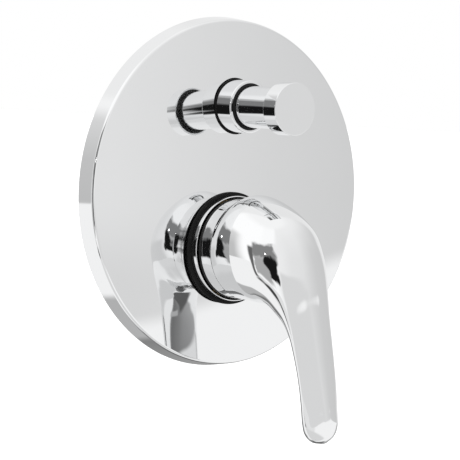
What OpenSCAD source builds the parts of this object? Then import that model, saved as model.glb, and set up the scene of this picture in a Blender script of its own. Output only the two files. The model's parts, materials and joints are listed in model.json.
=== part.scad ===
// Concealed single-lever bath and shower mixer with a pull diverter.
// Frame: X to the right, +Z up, -Y out of the wall towards the user.
// Origin: centre of the concealed body's four fixing lugs, on their back
// plane, on the axis of the cartridge.

/* [Wall] */
// Depth of the concealed body behind the reference plane (u = 0)
wall_depth = 38; // [38:1:46]
// Place of the finished wall, measured from the reference plane
wall_u = 0; // [-1:0.05:0.5]

/* [Cover plate] */
// Radius of the plate at the wall
plate_r = 80; // [78:0.5:84]
// Radius of the plate where the rim meets the rolled edge
plate_edge_r = 79.1; // [77:0.1:80]
// Radius of the rolled edge
plate_fillet = 1.6; // [1.2:0.1:2]
// Height of the middle of the domed face above the reference plane
plate_apex = 13.8; // [13:0.05:13.8]
// Fall of the dome from the middle to the rolled edge
plate_fall = 4.5; // [4:0.1:5]
// Thickness of the pressed plate
plate_t = 1.5; // [1:0.1:1.8]
// Height of the plate's centre above the cartridge axis
plate_z = 25.5; // [24:0.5:27]

/* [Lever side] */
// Radius of the chrome collar round the cartridge
collar_r = 24.05; // [23.9:0.05:24.2]
// How far the collar stands in front of the reference plane
collar_front = 18.35; // [17.6:0.05:18.6]
// Outer radius of the handle's skirt
skirt_r = 22.75; // [22.4:0.05:22.8]
// Height of the skirt's edge in front of the reference plane
skirt_edge = 19.5; // [19.3:0.1:20.2]
// Height of the lever's pivot pin in front of the reference plane
pivot_u = 22.85; // [22.85:0.05:23.3]
// How far the lever is swung to the right in the pose of the photo
rest_swing = 15.5; // [0:0.5:20]

/* [Diverter side] */
// Height of the diverter axis above the cartridge axis
diverter_z = 65; // [64:0.5:66]
// Radius of the chrome sleeve
sleeve_r = 12.1; // [11.9:0.05:12.1]
// How far the sleeve stands in front of the reference plane
sleeve_front = 23.05; // [22.8:0.05:23.8]
// Radius of the sliding stem
stem_r = 9.6; // [9.2:0.05:9.6]
// Radius of the cap on the stem
cap_r = 12.1; // [11.6:0.05:12.2]
// Height of the cap's back face in front of the reference plane, knob pushed in
cap_back = 45.85; // [45.35:0.1:46.85]
// Height of the cap's front face in front of the reference plane, knob pushed in
cap_front = 54.25; // [53.75:0.1:55.75]

/* [Ports] */
// Bore radius of the four half-inch ports
port_r = 9.32; // [9.3:0.01:9.4]
// Depth of thread in a port
port_depth = 14; // [12:1:15]
// Distance of the inlet faces from the axis
inlet_x = 40; // [38:1:41]

/* [Hidden] */
$fn = 64;
e = 0.01;

brass_c = [0.80, 0.64, 0.34];
chrome_c = [0.86, 0.87, 0.88];
rubber_c = [0.06, 0.06, 0.06];
plastic_c = [0.90, 0.90, 0.86];
black_c = [0.06, 0.06, 0.06];
ceramic_c = [0.95, 0.95, 0.93];
steel_c = [0.70, 0.71, 0.73];

port_y = -(wall_depth - 24);            // port axes lie 24 behind the wall
dome_r = (77.65 * 77.65) / (2 * plate_fall);
function dome(r) = plate_apex - r * r / (2 * dome_r);

// Puts local +Z along -Y, out of the wall; u is measured from the reference plane
module out(u = 0, z = 0, x = 0) {
  translate([x, -wall_depth - u, z]) rotate([90, 0, 0]) children();
}
// A ring or tube about an axis that points out of the wall
module tube(r1, r0, u0, u1, z = 0, x = 0) {
  out(u0, z, x) difference() {
    cylinder(r = r1, h = u1 - u0);
    translate([0, 0, -1]) cylinder(r = r0, h = u1 - u0 + 2);
  }
}
// The pieces that turn with the lever are drawn straight and swung here
module swung() { rotate([0, -rest_swing, 0]) children(); }
module disc(r, u0, u1, z = 0, x = 0) { out(u0, z, x) cylinder(r = r, h = u1 - u0); }
module o_ring(rm, rw, u, z = 0) {
  out(u, z) rotate_extrude() translate([rm, 0]) circle(r = rw, $fn = 32);
}
module hexbar(af, u0, u1, z = 0) { out(u0, z) cylinder(r = af / 2 / cos(30), h = u1 - u0, $fn = 6); }

// ---------------------------------------------------------------- plate
function arc(cx, cy, r, a0, a1, n) = [for (i = [0:n]) let (a = a0 + (a1 - a0) * i / n) [cx + r * cos(a), cy + r * sin(a)]];
dome_steps = [74, 70, 65, 59, 52, 44, 35, 25, 14, 0];
fillet_c = [plate_edge_r - plate_fillet, dome(77.65) - plate_fillet * 0.9934];
plate_outline = concat(
  [[plate_r, wall_u]],
  arc(fillet_c[0], fillet_c[1], plate_fillet, 6.6, 83.4, 7),
  [for (r = dome_steps) [r, dome(r)]],
  [for (i = [len(dome_steps) - 1:-1:0]) [dome_steps[i], dome(dome_steps[i]) - plate_t]],
  [[fillet_c[0] - 0.6, fillet_c[1] - 0.2], [plate_r - plate_t, wall_u]]);

module cover_plate() {
  color(chrome_c) difference() {
    out(0, plate_z) rotate_extrude($fn = 160) polygon(plate_outline);
    disc(25.05, -5, 30);
    disc(12.95, -5, 30, diverter_z);
  }
}
// Foam strip stuck behind the face, pressed on the tiles
module rim_gasket() {
  color(rubber_c) out(0, plate_z) rotate_extrude($fn = 128)
    polygon([[70.5, wall_u], [75, wall_u], [75, dome(75) - plate_t - 0.2], [70.5, dome(75) - plate_t - 0.2]]);
}

// ---------------------------------------------------------------- body
module lug(sx, sz) {
  translate([sx * 22, 0, sz * 22]) rotate([90, 0, 0]) cylinder(r = 6.5, h = 5);
  rotate([0, sx * sz > 0 ? -45 : 45, 0]) translate([sx > 0 ? 18 : -27.5, -4.6, -4.5]) cube([9.5, 4.2, 9]);
}
module port_boss(len) {
  cylinder(r = 13, h = len);
  translate([0, 0, len - 4]) cylinder(r = 14, h = 4);
}
module rounded_bar(x, y0, y1, z0, z1, r) {
  for (sx = [-1, 1], y = [y0 + r, y1 - r]) translate([sx * (x - r), y, z0]) cylinder(r = r, h = z1 - z0);
  translate([-x + r, y0, z0]) cube([2 * (x - r), y1 - y0, z1 - z0]);
  translate([-x, y0 + r, z0]) cube([2 * x, y1 - y0 - 2 * r, z1 - z0]);
}
module mixer_body() {
  color(brass_c) difference() {
    union() {
      disc(22.2, -wall_depth, 5);                                   // cartridge barrel
      translate([0, port_y, 0]) rotate([0, 90, 0]) port_boss(inlet_x);
      translate([0, port_y, 0]) rotate([0, -90, 0]) port_boss(inlet_x);
      translate([0, port_y, 0]) rotate([180, 0, 0]) port_boss(41);
      translate([0, port_y, diverter_z]) port_boss(26);
      rounded_bar(12.5, port_y - 12, port_y + 12.2, 10, diverter_z, 4); // riser
      disc(15, -wall_depth + 0.4, 3, diverter_z);                   // diverter barrel
      disc(4.9, -wall_depth + 2.6, -1.5, 51, 8.4);                  // bath duct beside the barrel
      for (sx = [-1, 1], sz = [-1, 1]) lug(sx, sz);
    }
    // fixing holes
    for (sx = [-1, 1], sz = [-1, 1]) translate([sx * 22, 1, sz * 22]) rotate([90, 0, 0]) cylinder(r = 2.75, h = 8);
    // cartridge bore, and the thread above it for the nut
    disc(17.6, -12, -2 + e);
    disc(19.7, -2, 6);
    // groove for the collar's ring
    out(-5, 0) rotate_extrude() translate([21.45, 0]) square([2, 2.2], center = true);
    // locating holes for the cartridge
    for (sx = [-1, 1]) disc(2.1, -14.4, -11.9, -13, 6.5 * sx);
    // ports
    for (s = [-1, 1]) {
      translate([s * (inlet_x - port_depth), port_y, 0]) rotate([0, s * 90, 0]) cylinder(r = port_r, h = port_depth + 1);
      translate([s * 7, port_y, 0]) rotate([0, s * 90, 0]) cylinder(r = 5.5, h = inlet_x - port_depth - 6);
      disc(3.2, -24, -11.9, -4, s * 8.5);
    }
    translate([0, port_y, -42]) cylinder(r = port_r, h = port_depth + 1);
    translate([0, port_y, diverter_z + 26 - port_depth]) cylinder(r = port_r, h = port_depth + 1);
    // mixed water up to the diverter
    disc(3.6, -20, -11.9, 5);
    translate([0, -wall_depth + 19, 3]) cylinder(r = 4.2, h = diverter_z - 9);
    // water back down to the bath outlet
    translate([0, -wall_depth + 31.8, -28]) cylinder(r = 3.8, h = 80.5);
    translate([-2, -wall_depth + 31.8, 50.2]) rotate([0, 90, 0]) cylinder(r = 2.4, h = 10);
    disc(2.5, -34, -4, 51, 8.4);
    translate([8.4, -wall_depth + 6, 51]) cylinder(r = 2.3, h = 12);
    // diverter chambers: back, seat, middle, front, thread
    disc(9.5, -34, -28, diverter_z);
    disc(6, -28.5, -26, diverter_z);
    disc(9.5, -26.5, 0.1, diverter_z);
    disc(10.5, -3, 4, diverter_z);
    // from the back chamber to the shower outlet
    translate([0, -wall_depth + 31, diverter_z]) cylinder(r = 2.9, h = 15);
  }
}

// ---------------------------------------------------------------- cartridge
module cartridge_base() {
  color(plastic_c) difference() {
    union() {
      disc(17.5, -12, -7);
      for (sx = [-1, 1]) disc(2, -14.2, -11.9, -13, 6.5 * sx);
    }
    // each inlet steps inwards to meet its hole in the disc
    for (s = [-1, 1]) { disc(3.2, -13, -9, -4, s * 8.5); disc(5.2, -12.5, -10.4, -4, s * 8.5); disc(3, -9.6, -6, -5.2, s * 7); }
    disc(3.6, -13, -6, 5);
    disc(5.2, -12.5, -10.4, 5);
  }
}
module port_seals() {
  color(rubber_c) {
    for (s = [-1, 1]) tube(5.1, 3.7, -12, -10.4, -4, s * 8.5);
    tube(5.1, 3.9, -12, -10.4, 5);
  }
}
module cartridge_housing() {
  color(black_c) difference() {
    union() {
      disc(17.5, -7, -2);
      disc(16.4, -2.1, 20);
      disc(13.4, 19.9, 26);
    }
    disc(14.6, -8, 17.6);
    disc(11, 17, 27);
  }
}
module fixed_ceramic_disc() {
  color(ceramic_c) difference() {
    disc(14.5, -7, -3);
    for (s = [-1, 1]) disc(2.1, -8, -2, -6.2, s * 5.6);
    disc(3.4, -8, -2, 3.4);
  }
}
module moving_ceramic_disc() {
  color(ceramic_c) difference() {
    disc(10.6, -3, 0.5);
    disc(6.3, -3.1, -0.9, 2.6);
  }
}
module disc_carrier() {
  color(plastic_c) difference() {
    union() {
      disc(10.6, 0.5, 8);
      disc(5.6, 7.9, 15);
    }
    // socket for the ball end, long enough for its swing
    out(9.5) for (y = [-1, 1]) translate([0, y, 0]) cylinder(r = 3.1, h = 7);
    out(9.5) translate([-3.1, -1, 0]) cube([6.2, 2, 7]);
  }
}
module lever_guide() {
  color(plastic_c) difference() {
    union() {
      disc(14.2, 15.4, 17.5);
      disc(10.95, 17.4, 26);
    }
    out(15) translate([-4.3, -8.4, 0]) cube([8.6, 15.4, 12]);
    translate([-12, -wall_depth - pivot_u, 0]) rotate([0, 90, 0]) cylinder(r = 1.75, h = 24);
  }
}
module pivot_pin() {
  color(steel_c) translate([-10.4, -wall_depth - pivot_u, 0]) rotate([0, 90, 0]) cylinder(r = 1.7, h = 20.8, $fn = 32);
}
module cartridge_lever() {
  color(brass_c) difference() {
    union() {
      out(17) translate([-4, -4, 0]) cube([8, 8, 29]);
      disc(2.2, 12, 17.5);
      out(13.6) sphere(r = 2.95, $fn = 48);
    }
    translate([-6, -wall_depth - pivot_u, 0]) rotate([0, 90, 0]) cylinder(r = 1.78, h = 12);
  }
}
module limit_ring() {
  color([0.75, 0.12, 0.10]) difference() {
    tube(16.2, 13.5, 20, 21.8);
    out(19) translate([-2, 14.8, 0]) cube([4, 3, 4]);
  }
}
module cartridge_nut() {
  color(black_c) difference() {
    union() {
      disc(19.6, -2, 5.2);
      hexbar(37, 5, 9.5);
    }
    disc(16.6, -3, 10);
  }
}

// ---------------------------------------------------------------- collar
module collar_o_ring() { color(rubber_c) o_ring(21.4, 0.92, -5); }
module collar() {
  color(chrome_c) out(0) rotate_extrude($fn = 96)
    polygon(concat([[22.35, -8], [collar_r - 0.4, -8], [collar_r, -7.6]],
      arc(collar_r - 0.3, collar_front - 0.3, 0.3, 0, 180, 8),
      [[collar_r - 0.6, 8], [22.35, 7.2]]));
}
module collar_seal() {
  color(rubber_c) out(0) rotate_extrude($fn = 96)
    polygon(concat([[24.1, 8.6], [24.95, 8.6], [24.95, 13.85]],
      arc(25.3, 14.25, 0.4, -90, 0, 5), arc(25.3, 14.4, 0.4, 0, 90, 5), [[24.1, 14.8]]));
}

// ---------------------------------------------------------------- handle
// Stations of the handle, each one hand-set: outer line (u, z), inner line
// (u, z), half width, place of the side edge between the lines, and the
// roundness of the outer side, the inner side and the inner corner
stations = [
  [27.0, 22.9, 27.0, -22.9, 22.9, 0.50, 1.00, 1.00, 1.0],
  [34.8, 25.2, 31.7, -23.2, 23.6, 0.50, 1.00, 1.00, 1.0],
  [46.0, 21.3, 38.3, -23.8, 23.3, 0.50, 1.00, 1.00, 1.0],
  [57.3, 14.0, 44.3, -24.7, 21.1, 0.50, 1.00, 1.05, 1.0],
  [63.1, 5.3, 47.6, -27.2, 18.6, 0.51, 1.05, 1.10, 1.0],
  [66.0, -4.3, 49.9, -30.5, 16.4, 0.54, 1.15, 1.10, 1.0],
  [66.5, -15.2, 53.2, -36.0, 14.0, 0.58, 1.30, 1.10, 1.0],
  [65.9, -26.7, 55.8, -43.5, 12.3, 0.60, 1.50, 1.00, 1.0],
  [65.4, -39.6, 56.9, -52.1, 11.4, 0.60, 1.70, 0.90, 0.9],
  [64.9, -52.2, 56.9, -61.2, 10.8, 0.60, 1.80, 0.80, 0.8],
  [64.4, -64.4, 55.6, -70.5, 10.5, 0.60, 1.80, 0.80, 0.8],
  [64.0, -74.6, 54.0, -78.7, 10.2, 0.57, 1.60, 0.80, 0.8],
  [63.5, -81.7, 53.4, -84.0, 9.4, 0.55, 1.30, 0.90, 0.9],
  [61.9, -86.9, 55.3, -87.5, 6.6, 0.50, 1.10, 1.00, 1.0],
  [59.7, -89.4, 57.0, -89.1, 2.0, 0.50, 1.00, 1.00, 1.0]];
ring_n = 40;
sub_n = 3;
function cr(a, b, c, d, t) = 0.5 * (2 * b + (c - a) * t + (2 * a - 5 * b + 4 * c - d) * t * t + (3 * b - a - 3 * c + d) * t * t * t);
function station(t) = let (n = len(stations) - 1, i = min(floor(t), n - 1), f = t - i)
  [for (k = [0:8]) cr(stations[max(i - 1, 0)][k], stations[i][k], stations[i + 1][k], stations[min(i + 2, n)][k], f)];
function ring_pt(v, a) = let (
    c = cos(a), s = sin(a),
    cu = v[2] + v[5] * (v[0] - v[2]), cz = v[3] + v[5] * (v[1] - v[3]),
    x = v[4] * sign(c) * pow(abs(c), s >= 0 ? 1 : v[8]),
    t = s >= 0 ? pow(s, v[6]) : -pow(-s, v[7]),
    u = t >= 0 ? cu + t * (v[0] - cu) : cu - t * (v[2] - cu),
    z = t >= 0 ? cz + t * (v[1] - cz) : cz - t * (v[3] - cz))
  [x, -wall_depth - u, z];
ring_count = (len(stations) - 1) * sub_n + 1;
handle_pts = [for (i = [0:ring_count - 1]) let (v = station(i / sub_n)) for (j = [0:ring_n - 1]) ring_pt(v, 360 * j / ring_n)];
handle_faces = concat(
  [[for (j = [0:ring_n - 1]) j]],
  [for (i = [0:ring_count - 2], j = [0:ring_n - 1]) [i * ring_n + j, (i + 1) * ring_n + j, i * ring_n + (j + 1) % ring_n]],
  [for (i = [0:ring_count - 2], j = [0:ring_n - 1]) [i * ring_n + (j + 1) % ring_n, (i + 1) * ring_n + j, (i + 1) * ring_n + (j + 1) % ring_n]],
  [[for (j = [ring_n - 1:-1:0]) (ring_count - 1) * ring_n + j]]);

module handle() {
  color(chrome_c) difference() {
    union() {
      polyhedron(points = handle_pts, faces = handle_faces, convexity = 6);
      out(skirt_edge) rotate_extrude($fn = 96)
        polygon([[0, 0], [skirt_r - 0.25, 0], [skirt_r, 0.25], [skirt_r, 1.4], [skirt_r - 0.2, 1.55], [skirt_r, 1.7], [skirt_r, 8.2], [21, 12], [0, 12]]);
    }
    disc(20.3, 10, 34.5);
    // cored pocket in the upper half, round the boss of the lever
    out(34.4) rotate_extrude(angle = 180) translate([9.5, 0]) square([6.5, 11.6]);
    // square socket
    out(34) translate([-4.05, -4.05, 0]) cube([8.1, 8.1, 12.2]);
    // screw from below, under its plug
    translate([0, -wall_depth - 39.5, -30]) cylinder(r = 2.5, h = 27);
    translate([0, -wall_depth - 39.5, -30]) cylinder(r = 3.6, h = 7.5);
  }
}
// Slide ring under the edge of the skirt
module skirt_ring() { color(black_c) tube(22.55, 20.9, skirt_edge - 0.8, skirt_edge); }
module handle_screw() {
  color(steel_c) translate([0, -wall_depth - 39.5, -14]) difference() {
    cylinder(r = 2.45, h = 9.98, $fn = 32);
    translate([0, 0, -1]) cylinder(r = 1.45, h = 4, $fn = 6);
  }
}
module handle_plug() {
  color([0.45, 0.46, 0.48]) translate([0, -wall_depth - 39.5, -24.3]) cylinder(r = 3.55, h = 1.8, $fn = 32);
}

// ---------------------------------------------------------------- diverter
module seat_ring() { color(brass_c) tube(9.48, 6, -10, -8, diverter_z); }
module diverter_bush() {
  color(brass_c) difference() {
    union() {
      disc(10.45, -3, 3.01, diverter_z);
      hexbar(22, 3, 7, diverter_z);
      disc(9.5, 6.9, 9.6, diverter_z);
      disc(6.2, 9.5, 15, diverter_z);
    }
    disc(3.05, -4, 16, diverter_z);
    out(-0.6, diverter_z) rotate_extrude() translate([10.5, 0]) square([2.2, 2], center = true);
    out(9, diverter_z) rotate_extrude() translate([3.95, 0]) square([2.1, 1.9], center = true);
  }
}
module bush_o_ring() { color(rubber_c) o_ring(9.95, 0.55, -0.6, diverter_z); }
module spindle_seal() { color(rubber_c) o_ring(3.99, 0.9, 9, diverter_z); }
module diverter_spindle() {
  color(brass_c) {
    disc(3, -30, 47, diverter_z);
    disc(2.4, 46.9, 52.4, diverter_z);
  }
}
module valve_piston() { color(brass_c) tube(7.5, 3.02, -24.5, -20.5, diverter_z); }
module valve_washers() {
  color(rubber_c) {
    tube(8, 3.02, -26, -24.5, diverter_z);
    tube(8, 3.02, -20.5, -19, diverter_z);
  }
}
module piston_nut() {
  color(brass_c) difference() {
    hexbar(8, -29, -26, diverter_z);
    disc(3.02, -30, -25, diverter_z);
  }
}
coil_n = 8;
coil_turns = 6;
coil_steps = 112;
coil_u0 = -18.55;
coil_u1 = -3.45;
function coil_pt(i, j) = let (a = 360 * coil_turns * i / coil_steps, b = 360 * j / coil_n,
    rr = 4.6 + 0.42 * cos(b), u = coil_u0 + (coil_u1 - coil_u0) * i / coil_steps + 0.42 * sin(b))
  [rr * cos(a), -wall_depth - u, diverter_z + rr * sin(a)];
coil_pts = [for (i = [0:coil_steps], j = [0:coil_n - 1]) coil_pt(i, j)];
coil_faces = concat(
  [[for (j = [coil_n - 1:-1:0]) j]],
  [for (i = [0:coil_steps - 1], j = [0:coil_n - 1]) [i * coil_n + j, i * coil_n + (j + 1) % coil_n, (i + 1) * coil_n + j]],
  [for (i = [0:coil_steps - 1], j = [0:coil_n - 1]) [i * coil_n + (j + 1) % coil_n, (i + 1) * coil_n + (j + 1) % coil_n, (i + 1) * coil_n + j]],
  [[for (j = [0:coil_n - 1]) coil_steps * coil_n + j]]);
module diverter_spring() { color(steel_c) polyhedron(points = coil_pts, faces = coil_faces, convexity = 10); }

module diverter_sleeve() {
  color(chrome_c) out(0, diverter_z) rotate_extrude($fn = 96)
    polygon(concat([[9.55, 7.2], [sleeve_r - 0.3, 7.2], [sleeve_r, 7.5]],
      [[sleeve_r, sleeve_front - 1.3], [sleeve_r - 0.12, sleeve_front - 1.2]],
      arc(sleeve_r - 0.75, sleeve_front - 0.6, 0.6, 20, 90, 5),
      [[stem_r + 1.15, sleeve_front], [stem_r + 1.15, sleeve_front - 2.2], [stem_r + 0.08, sleeve_front - 2.2],
       [stem_r + 0.08, 9.9], [9.55, 9.9]]));
}
module sleeve_seal() {
  color(rubber_c) out(0, diverter_z) rotate_extrude()
    polygon([[sleeve_r + 0.05, 7.6], [14, 7.6], [14, 8.6], [12.9, 8.6], [12.9, 11.2], [12.6, 11.5], [12.6, 13.3], [12.45, 13.45], [sleeve_r + 0.05, 13.45]]);
}
// Wiper between the sleeve and the sliding stem
module stem_wiper() {
  color(rubber_c) out(0, diverter_z) rotate_extrude($fn = 96)
    polygon([[stem_r + 0.1, sleeve_front - 2.1], [stem_r + 1.1, sleeve_front - 2.1], [stem_r + 1.1, sleeve_front - 0.1],
      [stem_r + 0.2, sleeve_front + 0.7], [stem_r + 0.1, sleeve_front + 0.7]]);
}
module knob_stem() { color(chrome_c) tube(stem_r, 8, 10.2, cap_back + 1.5, diverter_z); }
module knob_cap() {
  color(chrome_c) difference() {
    out(0, diverter_z) rotate_extrude($fn = 96)
      polygon(concat([[0, cap_back], [cap_r - 0.2, cap_back], [cap_r, cap_back + 0.2]],
        arc(cap_r - 0.35, cap_front - 0.35, 0.35, 0, 90, 5), [[0, cap_front]]));
    disc(stem_r + 0.35, cap_back - 1, cap_back + 1.5, diverter_z);
    disc(2.42, 47, 52.5, diverter_z);
    disc(7.4, cap_back - 1, cap_back + 3.2, diverter_z);
    translate([0, -wall_depth - 51.2, diverter_z - 14]) cylinder(r = 1.25, h = 12.5, $fn = 32);
  }
}
module knob_screw() {
  color(steel_c) translate([0, -wall_depth - 51.2, diverter_z - 9.5]) difference() {
    cylinder(r = 1.2, h = 7.05, $fn = 32);
    translate([0, 0, -1]) cylinder(r = 0.75, h = 2.5, $fn = 6);
  }
}

mixer_body();
cartridge_base();
port_seals();
cartridge_housing();
fixed_ceramic_disc();
swung() moving_ceramic_disc();
swung() disc_carrier();
swung() lever_guide();
swung() pivot_pin();
swung() cartridge_lever();
limit_ring();
cartridge_nut();
collar_o_ring();
collar();
collar_seal();
swung() handle();
swung() skirt_ring();
swung() handle_screw();
swung() handle_plug();
cover_plate();
rim_gasket();
seat_ring();
diverter_bush();
bush_o_ring();
spindle_seal();
diverter_spindle();
valve_piston();
valve_washers();
piston_nut();
diverter_spring();
diverter_sleeve();
sleeve_seal();
stem_wiper();
knob_stem();
knob_cap();
knob_screw();
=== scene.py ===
import bpy
import json
import math
from math import sin, cos, radians, pi, hypot, atan2
from mathutils import Vector, Matrix


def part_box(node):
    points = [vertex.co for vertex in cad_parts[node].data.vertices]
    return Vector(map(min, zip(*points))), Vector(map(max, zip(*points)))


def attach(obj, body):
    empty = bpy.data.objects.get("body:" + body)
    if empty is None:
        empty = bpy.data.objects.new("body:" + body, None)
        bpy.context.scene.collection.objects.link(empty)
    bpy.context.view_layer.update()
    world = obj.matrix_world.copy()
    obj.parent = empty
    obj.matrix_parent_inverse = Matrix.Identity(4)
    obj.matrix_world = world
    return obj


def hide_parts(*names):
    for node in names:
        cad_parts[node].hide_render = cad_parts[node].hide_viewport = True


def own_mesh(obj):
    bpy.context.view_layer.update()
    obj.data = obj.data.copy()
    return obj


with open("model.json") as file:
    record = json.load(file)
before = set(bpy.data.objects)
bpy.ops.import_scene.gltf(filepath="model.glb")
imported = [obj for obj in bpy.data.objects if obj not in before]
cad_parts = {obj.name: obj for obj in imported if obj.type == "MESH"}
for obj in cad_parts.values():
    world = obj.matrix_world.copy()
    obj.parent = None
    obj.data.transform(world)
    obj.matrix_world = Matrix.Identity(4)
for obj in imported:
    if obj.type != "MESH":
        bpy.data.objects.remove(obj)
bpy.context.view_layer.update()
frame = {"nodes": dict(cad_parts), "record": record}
NODES = frame["nodes"]
MM = 0.001
WALL = 0.038          # depth of the body behind the finished wall, u = 0
FOOT = 0.0            # foot of the plate, mm
VIEW_U = -1.25        # height of the point that the camera is set by, mm
SWING = radians(15.5) # the lever is swung to the right in the photo
DIV_Z = 65.0          # diverter axis above the cartridge axis, mm
PLATE_Z = 25.5


# ------------------------------------------------------------------ materials
def nodes_of(name):
    m = bpy.data.materials.new(name)
    m.use_nodes = True
    nt = m.node_tree
    for n in list(nt.nodes):
        nt.nodes.remove(n)
    out = nt.nodes.new("ShaderNodeOutputMaterial")
    bsdf = nt.nodes.new("ShaderNodeBsdfPrincipled")
    nt.links.new(bsdf.outputs["BSDF"], out.inputs["Surface"])
    return m, nt, bsdf


def add(nt, kind, **props):
    n = nt.nodes.new(kind)
    for k, v in props.items():
        setattr(n, k, v)
    return n


def coords(nt, scale=(1, 1, 1)):
    tc = add(nt, "ShaderNodeTexCoord")
    mp = add(nt, "ShaderNodeMapping")
    mp.inputs["Scale"].default_value = scale
    nt.links.new(tc.outputs["Object"], mp.inputs["Vector"])
    return mp.outputs["Vector"]


def noise(nt, vec, scale, detail=3.0, rough=0.5):
    n = add(nt, "ShaderNodeTexNoise")
    n.inputs["Scale"].default_value = scale
    n.inputs["Detail"].default_value = detail
    n.inputs["Roughness"].default_value = rough
    nt.links.new(vec, n.inputs["Vector"])
    return n.outputs["Fac"]


def ramp(nt, fac, lo, hi, a=0.0, b=1.0):
    n = add(nt, "ShaderNodeMapRange")
    n.inputs["From Min"].default_value = a
    n.inputs["From Max"].default_value = b
    n.inputs["To Min"].default_value = lo
    n.inputs["To Max"].default_value = hi
    nt.links.new(fac, n.inputs["Value"])
    return n.outputs["Result"]


def mix_colour(nt, fac, c1, c2):
    n = add(nt, "ShaderNodeMix", data_type="RGBA")
    nt.links.new(fac, n.inputs["Factor"])
    for s, c in (("A", c1), ("B", c2)):
        sock = [i for i in n.inputs if i.name == s and i.type == "RGBA"][0]
        if isinstance(c, tuple):
            sock.default_value = (*c, 1)
        else:
            nt.links.new(c, sock)
    return [o for o in n.outputs if o.type == "RGBA"][0]


def bump(nt, bsdf, height, distance, strength=1.0, prev=None):
    n = add(nt, "ShaderNodeBump")
    n.inputs["Strength"].default_value = strength
    n.inputs["Distance"].default_value = distance
    nt.links.new(height, n.inputs["Height"])
    if prev is not None:
        nt.links.new(prev, n.inputs["Normal"])
    nt.links.new(n.outputs["Normal"], bsdf.inputs["Normal"])
    return n.outputs["Normal"]


def chrome(name, base=(0.86, 0.865, 0.87), wave=0.000010, wave_scale=22.0, rough=(0.02, 0.045)):
    """Electroplated chrome: mirror, faint long waves of the buffed metal under it, and a very faint haze of polishing marks."""
    m, nt, b = nodes_of(name)
    v = coords(nt)
    haze = noise(nt, v, 60.0, 4.0, 0.6)
    fine = noise(nt, v, 900.0, 3.0, 0.6)
    b.inputs["Metallic"].default_value = 1.0
    nt.links.new(mix_colour(nt, haze, tuple(c * 0.985 for c in base), base), b.inputs["Base Color"])
    mixed = add(nt, "ShaderNodeMath", operation="MULTIPLY")
    nt.links.new(haze, mixed.inputs[0])
    nt.links.new(fine, mixed.inputs[1])
    nt.links.new(ramp(nt, mixed.outputs[0], rough[0], rough[1], 0.1, 0.5), b.inputs["Roughness"])
    n1 = bump(nt, b, noise(nt, v, wave_scale, 1.0, 0.4), wave)
    bump(nt, b, fine, 0.0000004, prev=n1)
    return m


def brass_mat(name, cast=True):
    m, nt, b = nodes_of(name)
    v = coords(nt)
    big = noise(nt, v, 45.0, 5.0, 0.6)
    small = noise(nt, v, 600.0, 4.0, 0.65)
    b.inputs["Metallic"].default_value = 1.0
    if cast:
        nt.links.new(mix_colour(nt, big, (0.50, 0.36, 0.155), (0.70, 0.54, 0.27)), b.inputs["Base Color"])
        nt.links.new(ramp(nt, small, 0.34, 0.56), b.inputs["Roughness"])
        n1 = bump(nt, b, small, 0.00012, 0.7)
        bump(nt, b, big, 0.0003, 0.4, prev=n1)
    else:
        nt.links.new(mix_colour(nt, big, (0.72, 0.55, 0.26), (0.82, 0.66, 0.36)), b.inputs["Base Color"])
        nt.links.new(ramp(nt, small, 0.16, 0.28), b.inputs["Roughness"])
        bump(nt, b, noise(nt, coords(nt, (900, 900, 900)), 1.0, 2.0), 0.00001, 0.6)
    return m


def rubber_mat(name, base=(0.004, 0.004, 0.004), foam=False):
    m, nt, b = nodes_of(name)
    b.inputs["Specular IOR Level"].default_value = 0.15
    v = coords(nt)
    big = noise(nt, v, 120.0, 4.0, 0.6)
    small = noise(nt, v, 1500.0 if not foam else 700.0, 3.0, 0.6)
    nt.links.new(mix_colour(nt, big, base, tuple(c * 1.9 + 0.002 for c in base)), b.inputs["Base Color"])
    nt.links.new(ramp(nt, small, 0.45 if not foam else 0.8, 0.65 if not foam else 0.97), b.inputs["Roughness"])
    bump(nt, b, small, 0.00002 if not foam else 0.0003, 0.6)
    return m


def plastic_mat(name, base, rough=(0.32, 0.45)):
    m, nt, b = nodes_of(name)
    v = coords(nt)
    big = noise(nt, v, 60.0, 4.0, 0.55)
    small = noise(nt, v, 1800.0, 3.0, 0.6)
    nt.links.new(mix_colour(nt, big, tuple(c * 0.93 for c in base), base), b.inputs["Base Color"])
    nt.links.new(ramp(nt, small, rough[0], rough[1]), b.inputs["Roughness"])
    bump(nt, b, small, 0.000015, 0.5)
    return m


def steel_mat(name):
    m, nt, b = nodes_of(name)
    v = coords(nt, (1, 1, 14))
    streak = noise(nt, v, 260.0, 3.0, 0.6)
    b.inputs["Metallic"].default_value = 1.0
    nt.links.new(mix_colour(nt, streak, (0.52, 0.53, 0.54), (0.70, 0.71, 0.73)), b.inputs["Base Color"])
    nt.links.new(ramp(nt, streak, 0.18, 0.34), b.inputs["Roughness"])
    bump(nt, b, streak, 0.000008, 0.6)
    return m


M_PLATE = chrome("chrome_plate", wave=0.000012, wave_scale=24.0)
M_LEVER = chrome("chrome_lever", wave=0.000010, wave_scale=30.0)
M_TURNED = chrome("chrome_turned", wave=0.000004, wave_scale=60.0)
M_CAST = brass_mat("brass_cast", True)
M_BRASS = brass_mat("brass_turned", False)
M_RUBBER = rubber_mat("rubber_black")
M_FOAM = rubber_mat("foam_black", (0.02, 0.02, 0.021), foam=True)
M_WHITE = plastic_mat("plastic_white", (0.80, 0.80, 0.76))
M_BLACK = plastic_mat("plastic_black", (0.006, 0.006, 0.006), (0.5, 0.65))
M_RED = plastic_mat("plastic_red", (0.60, 0.045, 0.03))
M_GREY = plastic_mat("plastic_grey", (0.30, 0.31, 0.33), (0.2, 0.3))
M_CERAMIC = plastic_mat("ceramic_white", (0.90, 0.90, 0.87), (0.06, 0.14))
M_STEEL = steel_mat("steel_bright")

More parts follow.
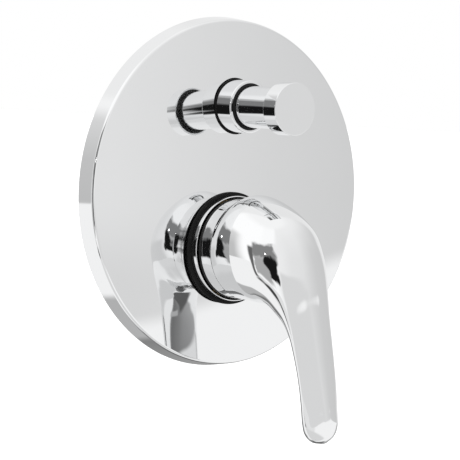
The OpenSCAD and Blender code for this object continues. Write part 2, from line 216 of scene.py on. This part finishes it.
BY_NODE = {
    "mixer_body": M_CAST, "rim_gasket": M_FOAM, "limit_ring": M_RED, "handle_plug": M_GREY,
    "cover_plate": M_PLATE, "handle": M_LEVER,
}
BY_SLOT = {"chrome": M_TURNED, "brass": M_BRASS, "rubber": M_RUBBER, "white_plastic": M_WHITE,
           "red_plastic": M_RED, "black_plastic": M_BLACK, "grey_plastic": M_GREY, "ceramic": M_CERAMIC, "steel": M_STEEL}
slot_of = {s["node"]: s["material_slot"] for s in frame["record"]["subparts"]}
for n, o in NODES.items():
    mat = BY_NODE.get(n) or BY_SLOT[slot_of[n]]
    o.data.materials.clear()
    o.data.materials.append(mat)


# ------------------------------------------------------------------ turned pieces
class Profile:
    """A closed half section (r, u) in mm, made of straight runs and round corners, with exact normals."""

    def __init__(self):
        self.seg = []          # list of lists of (r, u, nr, nu)

    def run(self, pts, normals=None):
        self.seg.append([(p[0], p[1], n[0], n[1]) for p, n in zip(pts, normals)])


def fillet_profile(corners, steps=6):
    """corners: (r, u, radius) going counter-clockwise round the section, so that outside is on the right of the walk."""
    n = len(corners)
    runs = []
    ends = []
    for i in range(n):
        p = Vector(corners[i][:2]); rad = corners[i][2]
        a = Vector(corners[i - 1][:2]); b = Vector(corners[(i + 1) % n][:2])
        d1 = (p - a).normalized(); d2 = (b - p).normalized()
        turn = d1.x * d2.y - d1.y * d2.x
        ang = atan2(turn, d1.dot(d2))
        if rad <= 0 or abs(ang) < 1e-4:
            ends.append((p, p, None))
            continue
        t = rad * math.tan(abs(ang) / 2)
        s = p - d1 * t; e = p + d2 * t
        side = 1 if ang > 0 else -1
        nrm = Vector((-d1.y, d1.x)) * side
        c = s + nrm * rad
        arc = []
        a0 = atan2(s.y - c.y, s.x - c.x)
        for k in range(steps + 1):
            th = a0 + ang * k / steps
            q = Vector((c.x + rad * cos(th), c.y + rad * sin(th)))
            out = (q - c).normalized() * side
            arc.append((q.x, q.y, out.x, out.y))
        ends.append((s, e, arc))
    for i in range(n):
        if ends[i][2]:
            runs.append(ends[i][2])
        p = ends[i][1]; q = ends[(i + 1) % n][0]
        d = (q - p)
        if d.length > 1e-5:
            d.normalize()
            out = (d.y, -d.x)
            runs.append([(p.x, p.y, *out), (q.x, q.y, *out)])
    return runs


def lathe(name, runs, z0, x0, mat, body, replaces, seg=192, closed=True):
    """Turns the section about an axis that points out of the wall, with exact normals on every corner."""
    pts = []
    for r in runs:
        for q in r:
            if not pts or hypot(pts[-1][0] - q[0], pts[-1][1] - q[1]) > 1e-6:
                pts.append((q[0], q[1]))
    if hypot(pts[-1][0] - pts[0][0], pts[-1][1] - pts[0][1]) < 1e-6:
        pts.pop()
    index = {}
    verts = []
    for i, (r, u) in enumerate(pts):
        if r < 1e-6:
            index[i] = [len(verts)] * seg
            verts.append((x0 * MM, -WALL - u * MM, z0 * MM))
        else:
            index[i] = []
            for k in range(seg):
                th = 2 * pi * k / seg
                index[i].append(len(verts))
                verts.append(((x0 + r * cos(th)) * MM, -WALL - u * MM, (z0 + r * sin(th)) * MM))

    def find(r, u):
        for i, (a, b) in enumerate(pts):
            if hypot(a - r, b - u) < 1e-5:
                return i
        raise ValueError("no such point")

    faces, normals = [], []
    for run in runs:
        for a, b in zip(run[:-1], run[1:]):
            ia, ib = find(a[0], a[1]), find(b[0], b[1])
            if ia == ib or (pts[ia][0] < 1e-6 and pts[ib][0] < 1e-6):
                continue
            for k in range(seg):
                k2 = (k + 1) % seg
                quad = [(ia, k, a), (ib, k, b), (ib, k2, b), (ia, k2, a)]
                poly, nn = [], []
                for i, kk, q in quad:
                    vi = index[i][kk]
                    if vi in poly:
                        continue
                    th = 2 * pi * (kk if pts[i][0] > 1e-6 else k + 0.5) / seg
                    poly.append(vi)
                    nn.append((q[2] * cos(th), -q[3], q[2] * sin(th)))
                faces.append(poly)
                normals.append(nn)
    return mesh_piece(name, verts, faces, normals, mat, body, replaces)


def mesh_piece(name, verts, faces, normals, mat, body, replaces):
    me = bpy.data.meshes.new(name)
    # wind every face so that it agrees with its normals
    fixed_f, fixed_n = [], []
    for f, nn in zip(faces, normals):
        a, b, c = (Vector(verts[f[i]]) for i in (0, 1, 2))
        g = (b - a).cross(c - a)
        if len(f) == 4:
            g = g + (c - a).cross(Vector(verts[f[3]]) - a)
        want = Vector((0, 0, 0))
        for q in nn:
            want += Vector(q)
        if g.dot(want) < 0:
            f, nn = f[::-1], nn[::-1]
        fixed_f.append(f)
        fixed_n.append(nn)
    me.from_pydata(verts, [], fixed_f)
    me.update()
    me.polygons.foreach_set("use_smooth", [True] * len(me.polygons))
    flat = [q for nn in fixed_n for q in nn]
    me.normals_split_custom_set(flat)
    me.update()
    o = bpy.data.objects.new(name, me)
    bpy.context.scene.collection.objects.link(o)
    me.materials.append(mat)
    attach(o, body)
    if replaces:
        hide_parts(*replaces)
    return o


# ------------------------------------------------------------------ cover plate
APEX, FALL, EDGE, PLATE_R, FIL, THICK = 13.8, 4.5, 79.1, 80.0, 1.6, 1.5
RHO2 = 77.65 ** 2 / FALL


def dome(r):
    return APEX - r * r / RHO2


def dome_n(r, sign=1):
    s = 2 * r / RHO2
    q = 1 / math.sqrt(1 + s * s)
    return (s * q * sign, q * sign)


def plate():
    """Face with two round holes cut in it, then rim. The rim runs in rings; the dome is a triangulated net of points
    between the rim and one ring round each hole.
    """
    holes = [(0.0, 0.0 - PLATE_Z, 25.05), (0.0, DIV_Z - PLATE_Z, 12.95)]
    fc = (EDGE - FIL, dome(77.65) - FIL * 0.9934)
    seg = 720
    rim = []
    # rolled edge: joins the dome smoothly and runs into the tapered rim
    a_hi = 90 - math.degrees(math.atan(2 * 77.65 / RHO2))
    a_lo = math.degrees(math.atan2(PLATE_R - EDGE, fc[1] - FOOT))
    n = 10
    for i in range(n + 1):
        a = radians(a_hi + (a_lo - a_hi) * i / n)
        rim.append((fc[0] + FIL * cos(a), fc[1] + FIL * sin(a), cos(a), sin(a)))
    side_n = (cos(radians(a_lo)), sin(radians(a_lo)))
    edge = [(rim[-1][0], rim[-1][1], *side_n), (PLATE_R, FOOT + 0.35, *side_n)]
    lip = [(PLATE_R, FOOT + 0.35, *side_n), (PLATE_R - 0.1, FOOT + 0.1, 0.7, -0.7), (PLATE_R - 0.35, FOOT, 0, -1)]
    foot = [(PLATE_R - 0.35, FOOT, 0, -1), (PLATE_R - THICK, FOOT, 0, -1)]
    inner = [(PLATE_R - THICK, FOOT, -side_n[0], -side_n[1]), (fc[0] - 0.6, fc[1] - 0.2, -side_n[0], -side_n[1])]
    join = [(fc[0] - 0.6, fc[1] - 0.2, -0.3, -0.95), (74.0, dome(74) - THICK, *dome_n(74, -1))]
    verts, faces, normals = [], [], []

    def ring(r, u):
        base = len(verts)
        for k in range(seg):
            th = 2 * pi * k / seg
            verts.append((r * cos(th) * MM, -WALL - u * MM, (PLATE_Z + r * sin(th)) * MM))
        return base

    def band(b0, b1, q0, q1):
        for k in range(seg):
            k2 = (k + 1) % seg
            t1, t2 = 2 * pi * k / seg, 2 * pi * k2 / seg
            faces.append([b0 + k, b1 + k, b1 + k2, b0 + k2])
            normals.append([(q0[2] * cos(t1), -q0[3], q0[2] * sin(t1)), (q1[2] * cos(t1), -q1[3], q1[2] * sin(t1)),
                            (q1[2] * cos(t2), -q1[3], q1[2] * sin(t2)), (q0[2] * cos(t2), -q0[3], q0[2] * sin(t2))])

    outer_top = ring(rim[0][0], rim[0][1])
    last, lastq = outer_top, rim[0]
    for run in (rim, edge, lip, foot, inner, join):
        lastq = run[0]
        for q in run[1:]:
            b = ring(q[0], q[1])
            band(last, b, lastq, q)
            last, lastq = b, q
    outer_back = last

    def sheet(outer, r_out, u_of, n_of):
        """Dome between the outer ring and the two holes: a triangulation of a net of points."""
        import bmesh
        bm = bmesh.new()
        loops = []
        vs = []
        for k in range(seg):
            vs.append(bm.verts.new(Vector(verts[outer + k])))
        loops.append(vs)
        rims = []
        for hx, hz, hr in holes:
            hv = []
            m = 240 if hr > 20 else 160
            for k in range(m):
                th = 2 * pi * k / m
                x, z = hx + hr * cos(th), hz + hr * sin(th)
                hv.append(bm.verts.new(Vector((x * MM, -WALL - u_of(hypot(x, z)) * MM, (PLATE_Z + z) * MM))))
            rims.append(hv)
            loops.append(hv)
        for lp in loops:
            for a, b in zip(lp, lp[1:] + lp[:1]):
                bm.edges.new((a, b))
        # a fine net of inner points gives the dome its curve
        from mathutils.geometry import delaunay_2d_cdt
        pts, edges = [], []
        for lp in loops:
            s = len(pts)
            pts += [Vector((v.co.x / MM, v.co.z / MM - PLATE_Z)) for v in lp]
            edges += [(s + i, s + (i + 1) % len(lp)) for i in range(len(lp))]
        step = 2.4
        rows = int(r_out / (step * 0.866)) + 1
        for j in range(-rows, rows + 1):
            z = j * step * 0.866
            for i in range(-40, 41):
                x = (i + 0.5 * (j % 2)) * step
                rr = hypot(x, z)
                if rr > r_out - 1.3:
                    continue
                if any(hypot(x - hx, z - hz) < hr + 1.0 for hx, hz, hr in holes):
                    continue
                pts.append(Vector((x, z)))
        for hx, hz, hr in holes:
            for extra, m in ((0.35, 240 if hr > 20 else 160),):
                pass
        out = delaunay_2d_cdt(pts, edges, [], 0, 1e-7)
        co, tris = out[0], out[2]
        bm.free()
        base = len(verts)
        remap = []
        count = len(loops[0])
        for i, p in enumerate(co):
            src = out[3][i]
            r = hypot(p.x, p.y)
            if src and src[0] < count:
                remap.append(outer + src[0])
            else:
                remap.append(len(verts))
                verts.append((p.x * MM, -WALL - u_of(r) * MM, (p.y + PLATE_Z) * MM))
        hole_ids = []
        start = count
        for lp in rims:
            ids = []
            want = set(range(start, start + len(lp)))
            back = {}
            for i, src in enumerate(out[3]):
                for s in src:
                    if s in want:
                        back[s] = remap[i]
            ids = [back[s] for s in range(start, start + len(lp))]
            hole_ids.append(ids)
            start += len(lp)
        for t in tris:
            cx = sum(co[i].x for i in t) / 3
            cz = sum(co[i].y for i in t) / 3
            if hypot(cx, cz) > r_out or any(hypot(cx - hx, cz - hz) < hr for hx, hz, hr in holes):
                continue
            faces.append([remap[i] for i in t])
            nn = []
            for i in t:
                r = hypot(co[i].x, co[i].y)
                a = atan2(co[i].y, co[i].x)
                q = n_of(r)
                nn.append((q[0] * cos(a), -q[1], q[0] * sin(a)))
            normals.append(nn)
        return hole_ids

    top = sheet(outer_top, rim[0][0], dome, lambda r: dome_n(r))
    bot = sheet(outer_back, 74.0, lambda r: dome(r) - THICK, lambda r: dome_n(r, -1))
    for (hx, hz, hr), a, b in zip(holes, top, bot):
        m = len(a)
        for k in range(m):
            k2 = (k + 1) % m
            t1, t2 = 2 * pi * k / m, 2 * pi * k2 / m
            faces.append([a[k], b[k], b[k2], a[k2]])
            normals.append([(-cos(t1), 0, -sin(t1)), (-cos(t1), 0, -sin(t1)), (-cos(t2), 0, -sin(t2)), (-cos(t2), 0, -sin(t2))])
    return mesh_piece("cover_plate_fine", verts, faces, normals, M_PLATE, "fixed", ["cover_plate"])


plate()

# ------------------------------------------------------------------ collar, seals, sleeve, stem, cap
CR = 24.05
lathe("collar_fine", fillet_profile([
    (22.35, -8, 0.1), (CR, -8, 0.4), (CR, 18.35, 0.32), (23.45, 18.35, 0.25), (23.45, 8, 0.1), (22.35, 7.2, 0.1)]),
    0, 0, M_TURNED, "fixed", ["collar"], seg=256)
lathe("collar_seal_fine", fillet_profile([
    (24.1, 8.6, 0.1), (24.95, 8.6, 0.2), (24.95, 13.85, 0.1), (25.7, 13.85, 0.25), (25.7, 14.8, 0.4), (24.1, 14.8, 0.1)]),
    0, 0, M_RUBBER, "fixed", ["collar_seal"], seg=192)
SR = 12.1
lathe("diverter_sleeve_fine", fillet_profile([
    (9.55, 7.2, 0.05), (SR, 7.2, 0.3), (SR, 23.05, 0.6), (10.75, 23.05, 0.12), (10.75, 20.85, 0.05), (9.68, 20.85, 0.05),
    (9.68, 9.9, 0.02), (9.55, 9.9, 0.02)]),
    DIV_Z, 0, M_TURNED, "fixed", ["diverter_sleeve"], seg=192)
lathe("sleeve_seal_fine", fillet_profile([
    (12.15, 7.6, 0.05), (14, 7.6, 0.2), (14, 8.6, 0.2), (12.9, 8.6, 0.05), (12.9, 11.3, 0.2), (12.6, 11.5, 0.1), (12.6, 13.1, 0.15), (12.15, 13.1, 0.05)]),
    DIV_Z, 0, M_RUBBER, "fixed", ["sleeve_seal"], seg=160)
lathe("stem_wiper_fine", fillet_profile([
    (9.7, 20.95, 0.02), (10.7, 20.95, 0.05), (10.7, 22.95, 0.2), (9.85, 23.75, 0.1), (9.7, 23.75, 0.02)]),
    DIV_Z, 0, M_RUBBER, "fixed", ["stem_wiper"], seg=160)
lathe("skirt_ring_fine", fillet_profile([
    (20.9, 18.7, 0.1), (22.95, 18.7, 0.25), (22.95, 20.1, 0.1), (20.9, 20.1, 0.05)]),
    0, 0, M_BLACK, "lever", ["skirt_ring"], seg=192)
lathe("knob_stem_fine", fillet_profile([
    (8, 10.2, 0.1), (9.6, 10.2, 0.25), (9.6, 47.35, 0.1), (8, 47.35, 0.1)]),
    DIV_Z, 0, M_TURNED, "diverter", ["knob_stem"], seg=192)


def cap():
    R_, B, F = 12.1, 45.85, 54.25
    runs = fillet_profile([
        (0, 52.4, 0), (2.42, 52.4, 0.02), (2.42, 49.05, 0.05), (7.4, 49.05, 0.1), (7.4, 47.35, 0.05), (9.95, 47.35, 0.05),
        (9.95, B, 0.1), (R_, B, 0.25), (R_, F, 0.35), (0, F, 0)])
    runs = [r for r in runs if not (r[0][0] < 1e-6 and r[-1][0] < 1e-6)]
    return lathe("knob_cap_fine", runs, DIV_Z, 0, M_TURNED, "diverter", ["knob_cap"], seg=192)


cap()
# painted shade: a black ring put in the back of the cap, where the groove round the stem lies in shade, seen only in
# the plate's mirror image
lathe("cap_painted_shade_ring", fillet_profile([
    (9.7, 45.35, 0.1), (11.2, 45.35, 0.25), (11.2, 45.83, 0.02), (9.7, 45.83, 0.02)]),
    DIV_Z, 0, M_BLACK, "diverter", None, seg=160)
# a copy of the spring with its own mesh, held on the fixed body; in the tap it presses together as the knob is pulled
# out, here it stays as it is
spring_lo, spring_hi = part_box("diverter_spring")
coil = NODES["diverter_spring"]
spring = bpy.data.objects.new("diverter_spring_soft", coil.data.copy())
bpy.context.scene.collection.objects.link(spring)
spring.matrix_world = coil.matrix_world.copy()
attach(spring, "fixed")
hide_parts("diverter_spring")
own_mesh(spring)

# ------------------------------------------------------------------ lever handle
ST = [
    (27.0, 22.9, 27.0, -22.9, 22.9, 0.50, 1.00, 1.00, 1.00),
    (34.8, 25.2, 31.7, -23.2, 23.6, 0.50, 1.00, 1.00, 1.00),
    (46.0, 21.3, 38.3, -23.8, 23.3, 0.50, 1.00, 1.00, 1.00),
    (57.3, 14.0, 44.3, -24.7, 21.1, 0.50, 1.00, 1.05, 1.00),
    (63.1, 5.3, 47.6, -27.2, 18.6, 0.51, 1.05, 1.10, 1.00),
    (66.0, -4.3, 49.9, -30.5, 16.4, 0.54, 1.15, 1.10, 1.00),
    (66.5, -15.2, 53.2, -36.0, 14.0, 0.58, 1.30, 1.10, 1.00),
    (65.9, -26.7, 55.8, -43.5, 12.3, 0.60, 1.50, 1.00, 1.00),
    (65.4, -39.6, 56.9, -52.1, 11.4, 0.60, 1.70, 0.90, 0.90),
    (64.9, -52.2, 56.9, -61.2, 10.8, 0.60, 1.80, 0.80, 0.80),
    (64.4, -64.4, 55.6, -70.5, 10.5, 0.60, 1.80, 0.80, 0.80),
    (64.0, -74.6, 54.0, -78.7, 10.2, 0.57, 1.60, 0.80, 0.80),
    (63.5, -81.7, 53.4, -84.0, 9.4, 0.55, 1.30, 0.90, 0.90),
    (61.9, -86.9, 55.3, -87.5, 6.6, 0.50, 1.10, 1.00, 1.00),
    (59.7, -89.4, 57.0, -89.1, 2.0, 0.50, 1.00, 1.00, 1.00)]


def cr(a, b, c, d, t):
    return 0.5 * (2 * b + (c - a) * t + (2 * a - 5 * b + 4 * c - d) * t * t + (3 * b - a - 3 * c + d) * t ** 3)


def station(t):
    n = len(ST) - 1
    i = min(int(t), n - 1)
    f = t - i
    return [cr(ST[max(i - 1, 0)][k], ST[i][k], ST[i + 1][k], ST[min(i + 2, n)][k], f) for k in range(9)]


def ring_point(v, a):
    c, s = cos(a), sin(a)
    cu, cz = v[2] + v[5] * (v[0] - v[2]), v[3] + v[5] * (v[1] - v[3])
    x = v[4] * (1 if c >= 0 else -1) * abs(c) ** (1 if s >= 0 else v[8])
    t = s ** v[6] if s >= 0 else -((-s) ** v[7])
    if t >= 0:
        u, z = cu + t * (v[0] - cu), cz + t * (v[1] - cz)
    else:
        u, z = cu - t * (v[2] - cu), cz - t * (v[3] - cz)
    return Vector((x * MM, -WALL - u * MM, z * MM))


def handle():
    """Lofted lever with its skirt, hollow base and socket, one closed mesh."""
    import bmesh
    n, m = 128, 8
    verts, faces = [], []

    def add_ring(pts):
        b = len(verts)
        verts.extend(pts)
        return b

    def join(b0, b1, k=n):
        for j in range(k):
            faces.append([b0 + j, b1 + j, b1 + (j + 1) % k, b0 + (j + 1) % k])

    def circle(r, u):
        return [Vector((r * cos(2 * pi * j / n) * MM, -WALL - u * MM, r * sin(2 * pi * j / n) * MM)) for j in range(n)]

    skirt = [(8.0, 34.5), (14, 34.5), (20.1, 34.5), (20.3, 34.3), (20.3, 27), (20.3, 20.3), (20.45, 20.1), (22.45, 20.1), (22.66, 20.16), (22.75, 20.3),
             (22.75, 20.94), (22.70, 21.0), (22.57, 21.05), (22.57, 21.15), (22.70, 21.2), (22.75, 21.26), (22.75, 23), (22.75, 26.6), (22.78, 26.8), (22.9, 27.0)]
    rings = [add_ring(circle(r, u)) for r, u in skirt[:-1]]
    for t in range((len(ST) - 1) * m + 1):
        v = station(t / m)
        rings.append(add_ring([ring_point(v, 2 * pi * j / n) for j in range(n)]))
    for a, b in zip(rings[:-1], rings[1:]):
        join(a, b)
    # tip: close with a fan to the middle
    c = len(verts)
    mid = Vector((0, 0, 0))
    for j in range(n):
        mid += verts[rings[-1] + j]
    verts.append(mid / n)
    for j in range(n):
        faces.append([rings[-1] + j, c, rings[-1] + (j + 1) % n])
    # socket for the square lever
    sq = []
    for j in range(n):
        a = 2 * pi * j / n
        q = 4.05 / max(abs(cos(a)), abs(sin(a)))
        sq.append((q * cos(a), q * sin(a)))
    s0 = add_ring([Vector((x * MM, -WALL - 0.0345, z * MM)) for x, z in sq])
    s1 = add_ring([Vector((x * MM, -WALL - 0.0462, z * MM)) for x, z in sq])
    join(s0, rings[0])
    join(s1, s0)
    c = len(verts)
    verts.append(Vector((0, -WALL - 0.0462, 0)))
    for j in range(n):
        faces.append([s1 + (j + 1) % n, c, s1 + j])
    cs, sn = cos(SWING), sin(SWING)
    verts = [Vector((v.x * cs - v.z * sn, v.y, v.z * cs + v.x * sn)) for v in verts]
    me = bpy.data.meshes.new("handle_fine")
    me.from_pydata([tuple(v) for v in verts], [], faces)
    bm = bmesh.new()
    bm.from_mesh(me)
    bmesh.ops.recalc_face_normals(bm, faces=bm.faces)
    bm.to_mesh(me)
    bm.free()
    me.polygons.foreach_set("use_smooth", [True] * len(me.polygons))
    me.set_sharp_from_angle(angle=radians(28))
    o = bpy.data.objects.new("handle_fine", me)
    bpy.context.scene.collection.objects.link(o)
    me.materials.append(M_LEVER)
    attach(o, "lever")
    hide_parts("handle")
    return o


handle()

# ------------------------------------------------------------------ camera
RAD = 0.0791
az, el, roll, DIST, scale, u0, v0 = radians(-40.59), radians(1.19), radians(2.95), 40.0, 172.24, 211.43, 190.88
right = Vector((cos(az), sin(az), 0))
back = Vector((sin(az) * cos(el), -cos(az) * cos(el), sin(el)))
up = back.cross(right)
right_r = cos(roll) * right + sin(roll) * up
up_r = -sin(roll) * right + cos(roll) * up
ox, oy = (u0 - 230) / scale, -(v0 - 230) / scale
centre = Vector((0, -WALL - VIEW_U * MM, PLATE_Z * MM))
cam_data = bpy.data.cameras.new("camera")
cam = bpy.data.objects.new("camera", cam_data)
bpy.context.scene.collection.objects.link(cam)
cam.matrix_world = Matrix((right_r, up_r, back)).transposed().to_4x4()
cam.location = centre + back * (DIST * RAD) - right_r * (ox * RAD) - up_r * (oy * RAD)
cam_data.sensor_width = 36.0
cam_data.lens = 36.0 * scale * DIST / 460.0
cam_data.clip_start, cam_data.clip_end = 0.05, 50
bpy.context.scene.camera = cam

# ------------------------------------------------------------------ studio
world = bpy.data.worlds.new("studio")
bpy.context.scene.world = world
world.use_nodes = True
wt = world.node_tree
for n in list(wt.nodes):
    wt.nodes.remove(n)
w_out = wt.nodes.new("ShaderNodeOutputWorld")
bg_view = wt.nodes.new("ShaderNodeBackground")
bg_view.inputs["Color"].default_value = (1, 1, 1, 1)
bg_view.inputs["Strength"].default_value = 1.0
bg_room = wt.nodes.new("ShaderNodeBackground")
bg_room.inputs["Strength"].default_value = 1.0
lp = wt.nodes.new("ShaderNodeLightPath")
mixw = wt.nodes.new("ShaderNodeMixShader")
wt.links.new(lp.outputs["Is Camera Ray"], mixw.inputs["Fac"])
wt.links.new(bg_room.outputs[0], mixw.inputs[1])
wt.links.new(bg_view.outputs[0], mixw.inputs[2])
wt.links.new(mixw.outputs[0], w_out.inputs["Surface"])

geo = wt.nodes.new("ShaderNodeTexCoord")
sep = wt.nodes.new("ShaderNodeSeparateXYZ")
wt.links.new(geo.outputs["Generated"], sep.inputs[0])


def wmath(op, a, b=None, clamp=False):
    n = wt.nodes.new("ShaderNodeMath")
    n.operation = op
    n.use_clamp = clamp
    for i, v in enumerate((a, b)):
        if v is None:
            continue
        if isinstance(v, (int, float)):
            n.inputs[i].default_value = v
        else:
            wt.links.new(v, n.inputs[i])
    return n.outputs[0]


X, Y, Z = sep.outputs
azim = wmath("ARCTAN2", X, wmath("MULTIPLY", Y, -1.0))      # 0 towards -Y (the user), + to the right (+X)
elev = wmath("ARCSINE", Z)
# people and furniture in the room have uneven outlines
wob = wt.nodes.new("ShaderNodeTexNoise")
wob.inputs["Scale"].default_value = 5.0
wob.inputs["Detail"].default_value = 2.0
wt.links.new(geo.outputs["Generated"], wob.inputs["Vector"])
wsep = wt.nodes.new("ShaderNodeSeparateColor")
wt.links.new(wob.outputs["Color"], wsep.inputs[0])
azim_w = wmath("ADD", azim, wmath("MULTIPLY", wmath("SUBTRACT", wsep.outputs[0], 0.5), radians(14)))
elev_w = wmath("ADD", elev, wmath("MULTIPLY", wmath("SUBTRACT", wsep.outputs[1], 0.5), radians(12)))


def smooth(v, a, b, lo=0.0, hi=1.0):
    """lo below a, hi above b (degrees)."""
    n = wt.nodes.new("ShaderNodeMapRange")
    n.interpolation_type = "SMOOTHSTEP"
    n.inputs["From Min"].default_value = radians(a)
    n.inputs["From Max"].default_value = radians(b)
    n.inputs["To Min"].default_value = lo
    n.inputs["To Max"].default_value = hi
    wt.links.new(v, n.inputs["Value"])
    return n.outputs["Result"]


def window(a0, a1, e0, e1, soft=1.0, esoft=None, rough=False):
    """1 inside a rectangle of azimuth and elevation in degrees."""
    es = soft if esoft is None else esoft
    av, ev = (azim_w, elev_w) if rough else (azim, elev)
    w = wmath("MULTIPLY", smooth(av, a0 - soft, a0 + soft), smooth(av, a1 - soft, a1 + soft, 1.0, 0.0))
    h = wmath("MULTIPLY", smooth(ev, e0 - es, e0 + es), smooth(ev, e1 - es, e1 + es, 1.0, 0.0))
    return wmath("MULTIPLY", w, h)


def blob(a0, e0, ra, re, tilt=0.0, soft=0.3, rough=True):
    """1 inside an ellipse round (a0, e0) with half axes ra and re, turned by tilt degrees."""
    av, ev = (azim_w, elev_w) if rough else (azim, elev)
    x, y = wmath("SUBTRACT", av, radians(a0)), wmath("SUBTRACT", ev, radians(e0))
    c, s = cos(radians(tilt)), sin(radians(tilt))
    p = wmath("MULTIPLY", wmath("ADD", wmath("MULTIPLY", x, c), wmath("MULTIPLY", y, s)), 1 / radians(ra))
    q = wmath("MULTIPLY", wmath("SUBTRACT", wmath("MULTIPLY", y, c), wmath("MULTIPLY", x, s)), 1 / radians(re))
    d = wmath("SQRT", wmath("ADD", wmath("MULTIPLY", p, p), wmath("MULTIPLY", q, q)))
    n = wt.nodes.new("ShaderNodeMapRange")
    n.interpolation_type = "SMOOTHSTEP"
    for k, v in (("From Min", 1 - soft), ("From Max", 1 + soft), ("To Min", 1.0), ("To Max", 0.0)):
        n.inputs[k].default_value = v
    wt.links.new(d, n.inputs["Value"])
    return n.outputs["Result"]


level = None


def paint(mask, value):
    global level
    n = wt.nodes.new("ShaderNodeMix")
    n.data_type = "FLOAT"
    for sock, v in ((n.inputs["Factor"], mask), (n.inputs[2], level), (n.inputs[3], value)):
        if isinstance(v, (int, float)):
            sock.default_value = v
        else:
            wt.links.new(v, sock)
    level = n.outputs[0]


def ramp_down(v, stops):
    """Straight pieces through (degrees, value) stops."""
    total = None
    for (a0, v0), (a1, v1) in zip(stops[:-1], stops[1:]):
        n = wt.nodes.new("ShaderNodeMapRange")
        for k, q in (("From Min", radians(a0)), ("From Max", radians(a1)), ("To Min", 0.0), ("To Max", v1 - v0)):
            n.inputs[k].default_value = q
        wt.links.new(v, n.inputs["Value"])
        total = n.outputs["Result"] if total is None else wmath("ADD", total, n.outputs["Result"])
    return wmath("ADD", total, stops[0][1])


# pale grey studio wall in front: darker to the right, lighter towards the ceiling and the window
level = ramp_down(azim, [(-70, 1.15), (-44, 1.08), (-34, 0.98), (-20, 0.95), (0, 0.88), (28, 0.86), (45, 0.76), (60, 0.69), (90, 0.66)])
paint(smooth(elev, 12, 66), 0.98)
paint(smooth(azim, 96, 106), 0.90)
# large soft window on the left and a bright ceiling
paint(wmath("MULTIPLY", smooth(azim, -34, -20, 1.0, 0.0), smooth(elev, 30, 36)), 1.12)
paint(smooth(azim, -78, -64, 1.0, 0.0), 1.15)
paint(smooth(elev, 62, 76), 1.05)
around = wmath("ABSOLUTE", azim)
paint(wmath("MULTIPLY", smooth(around, 132, 148), smooth(elev, 28, 42)), 0.965)
# grey wall behind on the left
paint(window(-168, -105, -12, 34, 9, 5), ramp_down(elev, [(-9, 0.58), (12, 0.61), (30, 0.76)]))
# the foot of the front wall lies in shade
paint(window(-30, 36, -34, -5, 4, 3), 0.77)
# dark screens beside the camera draw the chrome's dark lines: a soft grey one and a narrow black one
paint(window(-87, -33, 3, 30, 3, 4, True), 0.26)
paint(window(-84, -55, -27, 5, 3, 4, True), 0.45)
# floor of the room: it runs lower to the left, and is white up to its edge
edge = wmath("MULTIPLY", ramp_down(azim, [(-60, 30.0), (-20, 29.5), (-11, 26.0), (-4, 23.2), (3, 20.0), (8, 17.8), (14, 15.6), (20, 13.5), (26, 11.6), (34, 10.1), (47, 6.4), (58, 3.6), (100, 3.6), (120, 9.0)]), -radians(1))
edge = wmath("ADD", wmath("MULTIPLY", edge, smooth(azim, -96, -90)), wmath("MULTIPLY", smooth(azim, -96, -90, 1.0, 0.0), radians(-9)))
below = smooth(wmath("SUBTRACT", elev, edge), -0.7, 0.7, 1.0, 0.0)
paint(below, 1.02)
paint(wmath("MULTIPLY", below, window(-92, -8, -91, 0, 6)), 0.86)
paint(wmath("MULTIPLY", below, window(-80, 52, -91, -39, 8, 4)), 0.76)
paint(window(-57, -35, -19, 8, 2.0, 2.0, True), 0.010)
paint(window(-93, -86, -34, 20, 1.5, 3), 0.14)
paint(blob(-78, -37, 16, 3.2, 0, 0.3, False), 0.06)
# a small lamp beside the camera makes the sparks on the edges
paint(blob(-53, 12, 1.2, 1.2, 0, 0.2, False), 16.0)
# shaded floor behind the object
back_side = wmath("MAXIMUM", smooth(azim, 92, 104), smooth(azim, -170, -158, 1.0, 0.0))
paint(wmath("MULTIPLY", back_side, smooth(elev, -7, -1, 1.0, 0.0)), ramp_down(around, [(100, 0.46), (140, 0.34), (156, 0.26), (180, 0.20)]))
paint(window(86, 150, -91, -44, 6, 5), 0.13)
strip = wmath("MULTIPLY", smooth(elev, -55, -51), smooth(elev, -45, -40, 1.0, 0.0))
paint(wmath("MULTIPLY", strip, smooth(around, 156, 163)), 0.50)
comb = wt.nodes.new("ShaderNodeCombineColor")
for i in range(3):
    wt.links.new(level, comb.inputs[i])
wt.links.new(comb.outputs[0], bg_room.inputs["Color"])

# ------------------------------------------------------------------ floor and light
me = bpy.data.meshes.new("studio_floor")
me.from_pydata([(-40, -40, -0.18), (40, -40, -0.18), (40, 40, -0.18), (-40, 40, -0.18)], [], [(0, 1, 2, 3)])
floor = bpy.data.objects.new("studio_floor", me)
bpy.context.scene.collection.objects.link(floor)
fm, ft, fb = nodes_of("floor_paper")
fb.inputs["Roughness"].default_value = 0.9
fb.inputs["Specular IOR Level"].default_value = 0.0
fv = coords(ft)
ft.links.new(mix_colour(ft, noise(ft, fv, 3.0, 3.0), (0.93, 0.93, 0.93), (0.95, 0.95, 0.95)), fb.inputs["Base Color"])
# seen from below it lets the object show
clear = add(ft, "ShaderNodeBsdfTransparent")
side = add(ft, "ShaderNodeNewGeometry")
two = add(ft, "ShaderNodeMixShader")
ft.links.new(side.outputs["Backfacing"], two.inputs[0])
ft.links.new(fb.outputs["BSDF"], two.inputs[1])
ft.links.new(clear.outputs["BSDF"], two.inputs[2])
ft.links.new(two.outputs[0], [n for n in ft.nodes if n.type == "OUTPUT_MATERIAL"][0].inputs["Surface"])
me.materials.append(fm)
floor.visible_glossy = False
sun_data = bpy.data.lights.new("soft_sky", "SUN")
sun_data.energy = 1.6
sun_data.angle = radians(70)
sun = bpy.data.objects.new("soft_sky", sun_data)
sun.rotation_euler = (radians(20), radians(-15), 0)
sun.visible_glossy = False
bpy.context.scene.collection.objects.link(sun)

sc = bpy.context.scene
sc.view_settings.view_transform = "Standard"
sc.view_settings.look = "None"
sc.cycles.max_bounces = 12
sc.cycles.glossy_bounces = 8
sc.cycles.use_denoising = True
